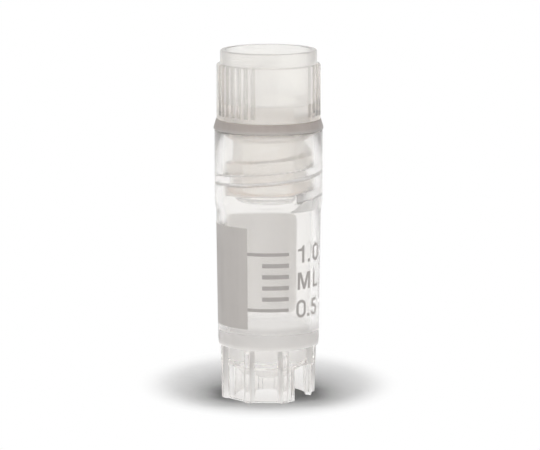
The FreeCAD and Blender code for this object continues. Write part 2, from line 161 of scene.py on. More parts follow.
def thread_ridge(vert, direction, foot, turns, root_width, tip_width):
    """How far a thread's ridge stands out at a point and how steep its flank is, from 0 to 1."""
    first_lap = off_direction(vert, direction + 180) / 360 + 0.5
    share = steepness = 0.0
    for along in (first_lap, first_lap + 1):
        off_middle = abs(vert.co.z - foot - THREAD_LEAD * along)
        flank = ease(off_middle, root_width / 2, tip_width / 2)
        run_out = ease(min(along, turns - along), 0, RUN_OUT_TURNS)
        share = max(share, flank * run_out)
        steepness = max(steepness, 4 * flank * (1 - flank) * run_out)
    return share, steepness


SHARP_ANGLE = math.radians(40)


def finished(bm, name):
    """Brings a mesh to metres and makes it an object, smooth but for its sharp edges."""
    bmesh.ops.scale(bm, vec=(MM, MM, MM), verts=bm.verts)
    mesh = bpy.data.meshes.new(name)
    bm.to_mesh(mesh)
    bm.free()
    mesh.shade_smooth()
    mesh.set_sharp_from_angle(angle=SHARP_ANGLE)
    piece = bpy.data.objects.new(name, mesh)
    bpy.context.scene.collection.objects.link(piece)
    return piece


RIDGE_TOP = NECK_FOOT + 5.4
TOOTH_ANGLE = -70.4
TOOTH_PITCH = 45.0
outer_lean = math.degrees(math.asin(SKIRT_BORE / BODY_LOW_RADIUS))
outer_bowl_top = BOTTOM_CENTRE - math.sqrt(BODY_LOW_RADIUS**2 - SKIRT_BORE**2)
tube_mesh = outline(
    [
        (0, BOTTOM_CENTRE - BODY_LOW_RADIUS),
        (SKIRT_BORE, outer_bowl_top),
        (SKIRT_BORE, 0, 0.1),
        (TOOTH_LOW_RADIUS, 0, 0.1),
        (TOOTH_TOP_RADIUS, FOOT_HEIGHT - 0.12),
        (TOOTH_TOP_RADIUS, FOOT_HEIGHT, 0.04),
        (BODY_LOW_RADIUS, BODY_FOOT, 0.2),
        (BODY_TOP_RADIUS, BODY_TOP, 0.4),
        (NECK_RADIUS, NECK_FOOT, 0.3),
        (NECK_RADIUS, TUBE_HEIGHT, 0.2),
        (MOUTH_RADIUS, TUBE_HEIGHT, 0.2),
        (MOUTH_RADIUS, RIDGE_TOP),
        (MOUTH_RADIUS, NECK_FOOT),
        (BORE_TOP_RADIUS, BODY_TOP - 0.3),
        (BORE_LOW_RADIUS, BOTTOM_CENTRE),
        (0, BOTTOM_CENTRE - BORE_LOW_RADIUS),
    ]
)
straight_bottoms = [
    edge for edge in tube_mesh.edges if min(vert.co.x for vert in edge.verts) == 0
]
bmesh.ops.delete(tube_mesh, geom=straight_bottoms, context="EDGES")
add_bowl(tube_mesh, BORE_LOW_RADIUS, BOTTOM_CENTRE, lean=90, rows=24)
add_bowl(tube_mesh, BODY_LOW_RADIUS, BOTTOM_CENTRE, lean=outer_lean, rows=18)
TOOTH_ROWS = 0.6
RIDGE_ROWS = 0.06
add_rows(tube_mesh, 1, FOOT_HEIGHT - 0.2, FLAT_RADIUS, BODY_TOP_RADIUS, TOOTH_ROWS)
add_rows(tube_mesh, BODY_TOP - 0.3, NECK_FOOT, BORE_TOP_RADIUS - 0.1, MOUTH_RADIUS, RIDGE_ROWS)
add_rows(tube_mesh, NECK_FOOT, RIDGE_TOP, BORE_TOP_RADIUS, NECK_RADIUS - 0.1, RIDGE_ROWS)
turn_round(tube_mesh, wedges=24, columns=15, direction=TOOTH_ANGLE)

# Teeth stand on the skirt, with flats between them. Their flanks are marked for the material, which
# paints shade on them and makes them rougher.
FLAT_HALF_ANGLE = 14.2
TOOTH_HALF_GAP = 19.4
TOOTH_SHADE_AND_FROST = 0.6
TOOTH_FADE_IN = 1.6
TOOTH_FADE_OUT = 1.4
shade_frost_mark = tube_mesh.verts.layers.float.new("shade_frost_mark")
for vert in tube_mesh.verts:
    tooth = vert.co.xy.length
    if tooth > (SKIRT_BORE + FLAT_RADIUS) / 2 and vert.co.z < FOOT_HEIGHT - 0.1:
        off_flat = off_nearest(vert, TOOTH_ANGLE + TOOTH_PITCH / 2, TOOTH_PITCH)
        flat = FLAT_RADIUS / math.cos(math.radians(off_flat))
        share = ease(off_flat, FLAT_HALF_ANGLE, TOOTH_HALF_GAP)
        set_radius(vert, flat + (tooth - flat) * share)
        flank = ease(off_flat, FLAT_HALF_ANGLE, FLAT_HALF_ANGLE + TOOTH_FADE_IN)
        flank *= ease(off_flat, TOOTH_HALF_GAP + TOOTH_FADE_OUT, TOOTH_HALF_GAP)
        vert[shade_frost_mark] = TOOTH_SHADE_AND_FROST * flank

# The thread's ridge stands inside the neck. Under its start is a short step, which grows in height
# as it goes round. The ridge, its start and the step are marked for painted shade and frost.
TUBE_RIDGE_TIP = 4.50
TUBE_THREAD = {
    "direction": -62,
    "foot": TUBE_HEIGHT - 7.65,
    "turns": 1.34,
    "root_width": 1.276,
    "tip_width": 0.776,
}
RIDGE_SHADE_AND_FROST = 0.2
START_SHADE_AND_FROST = 0.6
START_HEIGHT = 1.6
START_HALF_TURN = 60
STEP_DIRECTION = TUBE_THREAD["direction"] + 32
STEP_HALF_TURN = 38
STEP_HALF_FULL = 16
STEP_HALF_DULL = 26
STEP_RISE_END = -2
STEP_HEIGHT = 1.4
STEP_FOOT = TUBE_THREAD["foot"] - STEP_HEIGHT
STEP_RADIUS = 5.0
STEP_SHADE_AND_FROST = 0.8
for vert in tube_mesh.verts:
    height, radius = vert.co.z, vert.co.xy.length
    if BODY_TOP < height < RIDGE_TOP and 0 < radius < NECK_RADIUS - 0.5:
        share, steepness = thread_ridge(vert, **TUBE_THREAD)
        set_radius(vert, radius + (TUBE_RIDGE_TIP - radius) * share)
        past_middle = off_direction(vert, STEP_DIRECTION)
        first_lap = height < TUBE_THREAD["foot"] + START_HEIGHT
        at_start = first_lap and abs(past_middle) < START_HALF_TURN
        vert[shade_frost_mark] = max(steepness, (START_SHADE_AND_FROST if at_start else RIDGE_SHADE_AND_FROST) * share)
        rise = ease(past_middle, -STEP_HALF_TURN, STEP_RISE_END)
        step_top = STEP_FOOT + STEP_HEIGHT * rise
        if STEP_FOOT < height < step_top:
            share = ease(abs(past_middle), STEP_HALF_TURN, STEP_HALF_FULL)
            step = radius + (STEP_RADIUS - radius) * share
            set_radius(vert, min(vert.co.xy.length, step))
            step_shade = ease(abs(past_middle), STEP_HALF_TURN, STEP_HALF_DULL)
            vert[shade_frost_mark] = max(vert[shade_frost_mark], STEP_SHADE_AND_FROST * step_shade)

# The drain slot goes through the skirt, with rounded upper corners.
SLOT_ANGLE = -30.5
SLOT_WIDTH = 3.8
SLOT_HEIGHT = 4.0
SLOT_DEPTH = 2.8
SLOT_MIDDLE = SKIRT_BORE + 1.04
slot = bmesh.new()
bmesh.ops.create_cube(slot, size=1)
bmesh.ops.scale(slot, vec=(SLOT_DEPTH, SLOT_WIDTH, SLOT_HEIGHT * 2), verts=slot.verts)
slot_top = [edge for edge in slot.edges if all(vert.co.z > 0 for vert in edge.verts)]
upper_corners = [edge for edge in slot_top if edge.verts[0].co.y * edge.verts[1].co.y > 0]
bmesh.ops.bevel(
    slot,
    geom=upper_corners,
    offset=0.5,
    segments=5,
    profile=0.5,
    affect="EDGES",
    material=-1,
)
bmesh.ops.translate(slot, vec=(SLOT_MIDDLE, 0, 0), verts=slot.verts)
slot_turn = Matrix.Rotation(math.radians(SLOT_ANGLE), 3, "Z")
bmesh.ops.rotate(slot, verts=slot.verts, cent=(0, 0, 0), matrix=slot_turn)

tube = finished(tube_mesh, "tube_moulding")
slot_cutter = finished(slot, "slot_cutter")
cut = tube.modifiers.new("drain slot", "BOOLEAN")
cut.operation = "DIFFERENCE"
cut.solver = "EXACT"
cut.object = slot_cutter
evaluated = tube.evaluated_get(bpy.context.evaluated_depsgraph_get())
tube.data = bpy.data.meshes.new_from_object(evaluated)
tube.modifiers.clear()
bpy.data.objects.remove(slot_cutter)
tube.data.shade_smooth()
tube.data.set_sharp_from_angle(angle=SHARP_ANGLE)


def add_node(tree, kind, inputs, **settings):
    """Adds a node. An input is given a value, or another node's output to be linked to."""
    node = tree.nodes.new(kind)
    for name, value in settings.items():
        setattr(node, name, value)
    for name, value in inputs.items():
        if isinstance(value, bpy.types.NodeSocket):
            tree.links.new(value, node.inputs[name])
        else:
            node.inputs[name].default_value = value
    return node


def moulding_marks():
    """What every moulding shows: cloudy density, upright flow streaks, and a fine grain."""
    group = bpy.data.node_groups.new("moulding marks", "ShaderNodeTree")
    sockets = group.interface
    sockets.new_socket("Position", in_out="INPUT", socket_type="NodeSocketVector")
    for name in ("Gloss", "Satin"):
        sockets.new_socket(name, in_out="INPUT", socket_type="NodeSocketFloat")
    for name in ("Cloud", "Roughness", "Grain"):
        sockets.new_socket(name, in_out="OUTPUT", socket_type="NodeSocketFloat")
    given = group.nodes.new("NodeGroupInput").outputs
    position = given["Position"]
    cloud = add_node(
        group, "ShaderNodeTexNoise", {"Vector": position, "Scale": 240.0, "Detail": 3.0}
    )
    upward = add_node(group, "ShaderNodeMapping", {"Vector": position, "Scale": (1.0, 1.0, 0.08)})
    streak = add_node(
        group,
        "ShaderNodeTexNoise",
        {"Vector": upward.outputs[0], "Scale": 1300.0, "Detail": 2.0},
    )
    both = add_node(
        group,
        "ShaderNodeMath",
        {0: cloud.outputs["Fac"], 1: streak.outputs["Fac"]},
        operation="MULTIPLY",
    )
    spread = add_node(
        group, "ShaderNodeMapRange", {"Value": both.outputs[0], "From Min": 0.12, "From Max": 0.4}
    )
    rough = add_node(
        group,
        "ShaderNodeMapRange",
        {"Value": spread.outputs[0], "To Min": given["Gloss"], "To Max": given["Satin"]},
    )
    grain = add_node(
        group, "ShaderNodeTexNoise", {"Vector": position, "Scale": 5200.0, "Detail": 4.0}
    )
    made = group.nodes.new("NodeGroupOutput").inputs
    group.links.new(spread.outputs[0], made["Cloud"])
    group.links.new(rough.outputs[0], made["Roughness"])
    group.links.new(grain.outputs["Fac"], made["Grain"])
    return group


MARKS = moulding_marks()
GRAIN_DEPTH = 0.00002
# The colour of painted shade, mixed in where a mesh marks it.
SLOPE_SHADE_COLOUR = (0.3, 0.29, 0.28, 1.0)
SLOPE_ROUGHNESS = 0.5


def moulded(
    name, thin, dense, gloss, satin, grain, fixed, slope_shade=0.0, slope_frost=0.0, tint=None
):
    """A moulded material: two colours in clouds, a roughness between gloss and satin, and a grain.

    A clear one is painted darker, a painted shade, and made rougher where its mesh marks this. It
    may have a tint, the colour and density inside it.
    """
    material = bpy.data.materials.new(name)
    material.use_nodes = True
    tree = material.node_tree
    shader = tree.nodes["Principled BSDF"]
    place = tree.nodes.new("ShaderNodeTexCoord")
    marks = add_node(tree, "ShaderNodeGroup", {}, node_tree=MARKS)
    tree.links.new(place.outputs["Object"], marks.inputs["Position"])
    marks.inputs["Gloss"].default_value = gloss
    marks.inputs["Satin"].default_value = satin
    colour = add_node(
        tree,
        "ShaderNodeMix",
        {"Factor": marks.outputs["Cloud"], "A": (*thin, 1.0), "B": (*dense, 1.0)},
        data_type="RGBA",
    )
    slopes = add_node(tree, "ShaderNodeAttribute", {}, attribute_name="shade_frost_mark")
    steep = slopes.outputs["Fac"]
    # Painted shade: the colour darkens towards the shade colour where the mesh marks it.
    painted_shade = add_node(tree, "ShaderNodeMath", {0: steep, 1: slope_shade}, operation="MULTIPLY")
    colour = add_node(
        tree,
        "ShaderNodeMix",
        {"Factor": painted_shade.outputs[0], "A": colour.outputs["Result"], "B": SLOPE_SHADE_COLOUR},
        data_type="RGBA",
    )
    frost = add_node(tree, "ShaderNodeMath", {0: steep, 1: slope_frost}, operation="MULTIPLY")
    rough = add_node(
        tree,
        "ShaderNodeMix",
        {"Factor": frost.outputs[0], "A": marks.outputs["Roughness"], "B": SLOPE_ROUGHNESS},
    )
    bump = add_node(
        tree,
        "ShaderNodeBump",
        {"Height": marks.outputs["Grain"], "Strength": grain, "Distance": GRAIN_DEPTH},
    )
    tree.links.new(colour.outputs["Result"], shader.inputs["Base Color"])
    tree.links.new(rough.outputs[0], shader.inputs["Roughness"])
    tree.links.new(bump.outputs["Normal"], shader.inputs["Normal"])
    for socket, value in fixed.items():
        shader.inputs[socket].default_value = value
    if tint:
        inside = add_node(
            tree, "ShaderNodeVolumeAbsorption", {"Color": (*tint[:3], 1.0), "Density": tint[3]}
        )
        tree.links.new(inside.outputs[0], tree.nodes["Material Output"].inputs["Volume"])
    return material


clear_wall = moulded(
    "natural polypropylene, tube",
    thin=(0.995, 0.992, 0.985),
    dense=(0.985, 0.978, 0.965),
    gloss=0.06,
    satin=0.14,
    grain=0.15,
    fixed={"IOR": 1.49, "Transmission Weight": 0.9},
    slope_shade=0.9,
    slope_frost=1.0,
    tint=(0.88, 0.81, 0.77, 40),
)

# The round bottom is frosted, because the end of the mould's core is blasted.
BOTTOM_FROST = 0.55
FROST_TOP = 9.0
FROST_FULL = 6.5
FROST_OUTSIDE = BODY_LOW_RADIUS + 0.3
FROST_INSIDE = BODY_LOW_RADIUS + 0.05
tree = clear_wall.node_tree
shader = tree.nodes["Principled BSDF"]
position = tree.nodes["Texture Coordinate"].outputs["Object"]
height = add_node(tree, "ShaderNodeSeparateXYZ", {"Vector": position}).outputs["Z"]
bowl_middle = (0, 0, BOTTOM_CENTRE * MM)
off_middle = add_node(
    tree, "ShaderNodeVectorMath", {0: position, 1: bowl_middle}, operation="DISTANCE"
).outputs["Value"]
below = add_node(
    tree,
    "ShaderNodeMapRange",
    {"Value": height, "From Min": FROST_TOP * MM, "From Max": FROST_FULL * MM},
    interpolation_type="SMOOTHSTEP",
).outputs[0]
within = add_node(
    tree,
    "ShaderNodeMapRange",
    {"Value": off_middle, "From Min": FROST_OUTSIDE * MM, "From Max": FROST_INSIDE * MM},
).outputs[0]
frosted = add_node(tree, "ShaderNodeMath", {0: below, 1: within}, operation="MULTIPLY").outputs[0]
plain = shader.inputs["Roughness"].links[0].from_socket
rough = add_node(tree, "ShaderNodeMix", {"Factor": frosted, "A": plain, "B": BOTTOM_FROST})
tree.links.new(rough.outputs[0], shader.inputs["Roughness"])


def tone_by_height(material, colour, start, full, end=None, gone=None):
    """Brings in a second tone between two heights, and may take it out again from end to gone."""
    tree = material.node_tree
    shader = tree.nodes["Principled BSDF"]
    position = tree.nodes["Texture Coordinate"].outputs["Object"]
    height = add_node(tree, "ShaderNodeSeparateXYZ", {"Vector": position}).outputs["Z"]
    share = add_node(
        tree, "ShaderNodeMapRange", {"Value": height, "From Min": start * MM, "From Max": full * MM}
    ).outputs[0]
    if end:
        span = {"Value": height, "From Min": gone * MM, "From Max": end * MM}
        left = add_node(tree, "ShaderNodeMapRange", span).outputs[0]
        both = add_node(tree, "ShaderNodeMath", {0: share, 1: left}, operation="MULTIPLY")
        share = both.outputs[0]
    before = shader.inputs["Base Color"].links[0].from_socket
    after = add_node(
        tree, "ShaderNodeMix", {"Factor": share, "A": before, "B": (*colour, 1.0)}, data_type="RGBA"
    )
    tree.links.new(after.outputs["Result"], shader.inputs["Base Color"])


# The band over the foot is painted darker, a painted shade. The skirt is darker towards its bottom,
# and the lip towards its top edge.
tone_by_height(
    clear_wall,
    (0.80, 0.79, 0.78),
    start=FOOT_HEIGHT,
    full=FOOT_HEIGHT + 0.5,
    end=FOOT_HEIGHT + 2.2,
    gone=FOOT_HEIGHT + 2.8,
)
tone_by_height(clear_wall, (0.86, 0.845, 0.83), start=2.6, full=0.6)
tone_by_height(clear_wall, (0.9, 0.89, 0.88), start=TUBE_HEIGHT - 1.3, full=TUBE_HEIGHT - 0.5)
tone_by_height(clear_wall, (0.72, 0.70, 0.68), start=TUBE_HEIGHT - 0.5, full=TUBE_HEIGHT - 0.1)
tube.data.materials.append(clear_wall)
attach(tube, "vial")
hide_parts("tube")

# ---------------------------------------------------------------- print
# The graduation and a field for writing are pad-printed on the body in grey, over a pale undercoat
# that shows from inside: two long lines at 0.5 and 1.0 mL with four short ones between, their
# numbers, and the field.
INK_THICKNESS = 0.024
INK_BITE = 0.012
FIELD_END = -114
FIELD_TURN = 196
FIELD_LOW = 8.7
FIELD_HIGH = 20.5
FIELD_ROUNDING = 1.3
LINE_COUNT = 6
LONG_LINE_HALF_WIDTH = 0.19
SHORT_LINE_HALF_WIDTH = 0.24
LINE_END = -67
SHORT_LINE_START = FIELD_END + 17
HALF_LINE = 11.0
FULL_LINE = 17.5
TEXT_START = -55.7
LETTER_HEIGHT = 2.0
PEN = 0.33
ZERO_WIDTH = 1.42
ZERO_ROUNDING = 0.68
OVERSHOOT = 0.04


def body_radius(height):
    share = (height - BODY_FOOT) / (BODY_TOP - BODY_FOOT)
    return BODY_LOW_RADIUS + (BODY_TOP_RADIUS - BODY_LOW_RADIUS) * share


# A degree is the width of one degree round the body, and print is cut into strips to bend it.
MIDDLE_RADIUS = body_radius((FIELD_LOW + FIELD_HIGH) / 2)
DEGREE = math.radians(MIDDLE_RADIUS)
STRIP_WIDTH = 0.2


def lay_on_body(bm, direction):
    """Bends flat print onto the wall, with X round the body and Y up it, and thickens it."""
    width = max(vert.co.x for vert in bm.verts)
    cuts = math.ceil(width / STRIP_WIDTH)
    for i in range(1, cuts):
        geom = bm.verts[:] + bm.edges[:] + bm.faces[:]
        bmesh.ops.bisect_plane(
            bm, geom=geom, dist=1e-5, plane_co=(width * i / cuts, 0, 0), plane_no=(1, 0, 0)
        )
    bmesh.ops.recalc_face_normals(bm, faces=bm.faces)
    bmesh.ops.solidify(bm, geom=bm.faces[:], thickness=INK_THICKNESS)
    bmesh.ops.recalc_face_normals(bm, faces=bm.faces)
    lowest = min(vert.co.z for vert in bm.verts)
    bmesh.ops.translate(bm, verts=bm.verts, vec=(0, 0, -lowest))
    for vert in bm.verts:
        along, height, depth = vert.co
        radius = body_radius(height) - INK_BITE + depth
        angle = math.radians(direction) + along / MIDDLE_RADIUS
        vert.co = (radius * math.cos(angle), radius * math.sin(angle), height)
    bm.normal_update()
    for face in bm.faces:
        towards_bore = face.normal.dot(face.calc_center_median()) < -0.5 * BODY_LOW_RADIUS
        face.material_index = 1 if towards_bore else 0


def flat_patch(width, low, high):
    """A flat rectangle that starts at X 0."""
    bm = bmesh.new()
    bmesh.ops.create_grid(bm, x_segments=1, y_segments=1, size=0.5)
    bmesh.ops.translate(bm, verts=bm.verts, vec=(0.5, 0.5, 0))
    bmesh.ops.scale(bm, verts=bm.verts, vec=(width, high - low, 1))
    bmesh.ops.translate(bm, verts=bm.verts, vec=(0, low, 0))
    return bm


def round_corners(bm, verts, radius):
    bmesh.ops.bevel(
        bm, geom=verts, offset=radius, segments=6, profile=0.5, affect="VERTICES", material=-1
    )


def take_in(bm, other):
    """Adds one bmesh to another, and frees it."""
    carrier = bpy.data.meshes.new("carrier")
    other.to_mesh(carrier)
    other.free()
    bm.from_mesh(carrier)
    bpy.data.meshes.remove(carrier)


field = flat_patch(FIELD_TURN * DEGREE, FIELD_LOW, FIELD_HIGH)
round_corners(field, [vert for vert in field.verts if vert.co.x == 0], FIELD_ROUNDING)
lay_on_body(field, FIELD_END - FIELD_TURN)
writing_field = finished(field, "writing_field")

scale_mesh = bmesh.new()
for i in range(LINE_COUNT):
    height = HALF_LINE + (FULL_LINE - HALF_LINE) * i / (LINE_COUNT - 1)
    long_line = i in (0, LINE_COUNT - 1)
    half_width = LONG_LINE_HALF_WIDTH if long_line else SHORT_LINE_HALF_WIDTH
    start = FIELD_END if long_line else SHORT_LINE_START
    line = flat_patch((LINE_END - start) * DEGREE, height - half_width, height + half_width)
    lay_on_body(line, start)
    take_in(scale_mesh, line)


def flat_shape(corners):
    """A flat face from its corners. A corner is (along, up) or (along, up, rounding)."""
    bm = bmesh.new()
    verts = [bm.verts.new((corner[0], corner[1], 0)) for corner in corners]
    bm.faces.new(verts)
    for vert, corner in zip(verts, corners):
        if len(corner) == 3:
            round_corners(bm, [vert], corner[2])
    bm.normal_update()
    return bm


def zero():
    """The nought, a rounded ring that is a little taller than the other letters."""
    low, high = -OVERSHOOT, LETTER_HEIGHT + OVERSHOOT
    corners = [(0, low), (ZERO_WIDTH, low), (ZERO_WIDTH, high), (0, high)]
    bm = flat_shape([(*corner, ZERO_ROUNDING) for corner in corners])
    middle = bm.faces[:]
    bmesh.ops.inset_region(
        bm, faces=middle, thickness=PEN, use_boundary=True, use_even_offset=True
    )
    bmesh.ops.delete(bm, geom=middle, context="FACES")
    return bm


LETTERS = {
    "1": [
        (0.6, 0),
        (0.6 + PEN, 0),
        (0.6 + PEN, 2),
        (0.68, 2),
        (0.54, 1.72),
        (0, 1.62),
        (0, 1.36),
        (0.6, 1.36),
    ],
    ".": [(0, 0), (0.38, 0), (0.38, 0.38), (0, 0.38)],
    "5": [
        (0.16, 2),
        (1.14, 2),
        (1.14, 1.7),
        (0.44, 1.7),
        (0.41, 1.28),
        (1.25, 1.28, 0.55),
        (1.25, 0, 0.55),
        (0, 0, 0.5),
        (0, 0.52),
        (PEN, 0.52),
        (PEN, 0.29, 0.1),
        (0.92, 0.29, 0.28),
        (0.92, 0.98, 0.28),
        (0.06, 0.98),
    ],
    "M": [
        (0, 0),
        (0, 2),
        (0.5, 2),
        (0.975, 0.62),
        (1.45, 2),
        (1.95, 2),
        (1.95, 0),
        (1.95 - PEN, 0),
        (1.95 - PEN, 1.45),
        (1.13, 0),
        (0.82, 0),
        (PEN, 1.45),
        (PEN, 0),
    ],
    "L": [(0, 0), (1.08, 0), (1.08, 0.31), (PEN, 0.31), (PEN, 2), (0, 2)],
}
for text, starts, middle in (
    ("0.5", (-0.16, 1.55, 2.22), HALF_LINE),
    ("ML", (0, 2.61), (HALF_LINE + FULL_LINE) / 2),
    ("1.0", (0, 1.53, 2.42), FULL_LINE - 0.13),
):
    for letter, along in zip(text, starts):
        mark = zero() if letter == "0" else flat_shape(LETTERS[letter])
        bmesh.ops.triangulate(mark, faces=mark.faces[:])
        bmesh.ops.translate(mark, verts=mark.verts, vec=(0, middle - LETTER_HEIGHT / 2, 0))
        lay_on_body(mark, TEXT_START + along / DEGREE)
        take_in(scale_mesh, mark)
scale_print = finished(scale_mesh, "scale_print")

undercoat = moulded(
    "pale undercoat",
    thin=(0.985, 0.985, 0.985),
    dense=(0.97, 0.97, 0.97),
    gloss=0.5,
    satin=0.6,
    grain=0.2,
    fixed={"IOR": 1.45},
)
for printed, name, thin, dense in (
    (writing_field, "grey ink, field", (0.475, 0.45, 0.43), (0.445, 0.42, 0.40)),
    (scale_print, "grey ink, scale", (0.38, 0.36, 0.345), (0.35, 0.33, 0.315)),
):
    ink = moulded(name, thin, dense, gloss=0.45, satin=0.6, grain=0.3, fixed={"IOR": 1.45})
    printed.data.materials.append(ink)
    printed.data.materials.append(undercoat)
    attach(printed, "vial")

# ---------------------------------------------------------------- seal
# A silicone washer, moulded as a flat ring whose outside slopes. It is pushed over the cap's collar
# and squeezed between the tube's lip and the cap.
SEAL_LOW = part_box("seal")[0].z / MM
SEAL_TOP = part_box("seal")[1].z / MM
SEAL_BORE = 5.15
SEAL_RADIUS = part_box("seal")[1].x / MM
seal_mesh = outline(
    [
        (SEAL_BORE, SEAL_LOW, 0.05),
        (SEAL_RADIUS, SEAL_LOW, 0.2),
        (SEAL_RADIUS - 0.35, SEAL_TOP, 0.1),
        (SEAL_BORE, SEAL_TOP, 0.05),
    ]
)
turn_round(seal_mesh, wedges=12, columns=15)
seal = finished(seal_mesh, "seal_washer")
silicone = moulded(
    "grey silicone",
    thin=(0.55, 0.50, 0.47),
    dense=(0.50, 0.45, 0.42),
    gloss=0.35,
    satin=0.5,
    grain=0.3,
    fixed={"IOR": 1.41, "Transmission Weight": 0.5},
)
# The washer is painted lighter towards its lower edge, a painted highlight.
tone_by_height(silicone, (0.66, 0.63, 0.61), start=SEAL_LOW + 0.5, full=SEAL_LOW + 0.1)
seal.data.materials.append(silicone)
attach(seal, "washer")
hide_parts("seal")

# ---------------------------------------------------------------- cap
# The cap is one moulding in natural polypropylene: a hollow plug with the thread, a collar that
# carries the washer, a grip with three zones of seven grooves, and a thin rim round a recess for a
# colour disc.
CAP_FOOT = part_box("cap")[0].z / MM
CAP_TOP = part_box("cap")[1].z / MM
GRIP_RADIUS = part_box("cap")[1].x / MM
FLANGE_FOOT = CAP_FOOT + 9.6
GRIP_TOP = FLANGE_FOOT + 6.4
CORE_RADIUS = 4.20
PLUG_RIDGE_TIP = 5.05
PLUG_RIDGE_TOP = CAP_FOOT + 6.6
COLLAR_RADIUS = 5.10
COLLAR_FOOT = FLANGE_FOOT - 2.3
COLLAR_CHAMFER = 0.3
RIM_RADIUS = 5.58
RECESS_RADIUS = 4.96
RECESS_FLOOR = FLANGE_FOOT + 1.8
WELL_RADIUS = 3.30
WELL_FLOOR = CAP_FOOT + 0.9
GROOVE_FOOT = FLANGE_FOOT + 0.6
cap_mesh = outline(
    [
        (0, CAP_FOOT),
        (CORE_RADIUS, CAP_FOOT, 1.2),
        (CORE_RADIUS, PLUG_RIDGE_TOP),
        (CORE_RADIUS, COLLAR_FOOT, 0.15),
        (COLLAR_RADIUS - COLLAR_CHAMFER, COLLAR_FOOT),
        (COLLAR_RADIUS, COLLAR_FOOT + COLLAR_CHAMFER),
        (COLLAR_RADIUS, FLANGE_FOOT, 0.03),
        (GRIP_RADIUS, FLANGE_FOOT, 0.12),
        (GRIP_RADIUS, GROOVE_FOOT - 0.05),
        (GRIP_RADIUS, GROOVE_FOOT + 0.05),
        (GRIP_RADIUS, GRIP_TOP, 0.25),
        (RIM_RADIUS, GRIP_TOP, 0.08),
        (RIM_RADIUS, CAP_TOP, 0.2),
        (RECESS_RADIUS, CAP_TOP, 0.2),
        (RECESS_RADIUS, RECESS_FLOOR, 0.1),
        (WELL_RADIUS, RECESS_FLOOR, 0.12),
        (WELL_RADIUS, WELL_FLOOR, 0.7),
        (0, WELL_FLOOR),
    ]
)
PLUG_ROWS = 0.075
add_rows(
    cap_mesh, CAP_FOOT - 0.1, PLUG_RIDGE_TOP, WELL_RADIUS + 0.2, CORE_RADIUS + 0.1, PLUG_ROWS
)
ZONE_DIRECTION = -133
turn_round(cap_mesh, wedges=42, columns=12, direction=ZONE_DIRECTION)

# The grooves are pressed into the grip. They, the rim's top and the plug's end are marked for
# painted shade.
ZONE_PITCH = 120
ZONE_HALF_TURN = 30
GROOVE_PITCH = 2 * ZONE_HALF_TURN / 7
GROOVE_DEPTH = 0.25
GROOVE_HALF_WIDTH = 3.2
GROOVE_HALF_FLOOR = 1.0
GROOVE_SHADE = 0.4
EDGE_SHADE = 0.5
shade_frost_mark = cap_mesh.verts.layers.float.new("shade_frost_mark")
for vert in cap_mesh.verts:
    in_grip = GROOVE_FOOT < vert.co.z < GRIP_TOP + 0.01 and vert.co.xy.length > RIM_RADIUS + 0.1
    if in_grip and off_nearest(vert, ZONE_DIRECTION, ZONE_PITCH) < ZONE_HALF_TURN:
        off_groove = off_nearest(vert, ZONE_DIRECTION, GROOVE_PITCH)
        share = ease(off_groove, GROOVE_HALF_WIDTH, GROOVE_HALF_FLOOR)
        set_radius(vert, vert.co.xy.length - GROOVE_DEPTH * share)
        vert[shade_frost_mark] = GROOVE_SHADE * share
for vert in cap_mesh.verts:
    on_end = CAP_FOOT + 0.05 < vert.co.z < CAP_FOOT + 0.2 and vert.co.xy.length > WELL_RADIUS
    if vert.co.z > CAP_TOP - 0.12 or on_end:
        vert[shade_frost_mark] = EDGE_SHADE

# The thread stands on the plug, whose end is clearer than the rest. Its flanks are marked for
# painted shade.
PLUG_THREAD = {
    "direction": -208.29,
    "foot": CAP_FOOT + 1.0,
    "turns": 1.75,
    "root_width": 1.5,
    "tip_width": 1.0,
}
FLANK_SHADE = 0.5
CLEAR_END = 1.05
for vert in cap_mesh.verts:
    height, radius = vert.co.z, vert.co.xy.length
    on_plug = WELL_RADIUS + 0.01 < radius < CORE_RADIUS + 0.01
    if CAP_FOOT + 0.05 < height < PLUG_RIDGE_TOP and on_plug:
        share, steepness = thread_ridge(vert, **PLUG_THREAD)
        set_radius(vert, radius + (PLUG_RIDGE_TIP - radius) * share)
        vert[shade_frost_mark] = max(vert[shade_frost_mark], FLANK_SHADE * steepness)
cap_mesh.faces.ensure_lookup_table()
for face in cap_mesh.faces:
    face.material_index = 1 if face.calc_center_median().z < CAP_FOOT + CLEAR_END else 0
cap = finished(cap_mesh, "cap_moulding")
cap.data.materials.append(
    moulded(
        "natural polypropylene, cap",
        thin=(0.995, 0.992, 0.980),
        dense=(0.985, 0.978, 0.960),
        gloss=0.21,
        satin=0.25,
        grain=0.25,
        fixed={"IOR": 1.49, "Transmission Weight": 0.76},
        slope_shade=0.65,
        tint=(0.92, 0.82, 0.73, 60),
    )
)
cap.data.materials.append(
    moulded(
        "natural polypropylene, polished plug end",
        thin=(0.998, 0.996, 0.990),
        dense=(0.990, 0.986, 0.976),
        gloss=0.05,
        satin=0.10,
        grain=0.1,
        fixed={"IOR": 1.49, "Transmission Weight": 0.95},
        slope_shade=0.7,
    )
)
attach(cap, "screw_cap")
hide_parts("cap")

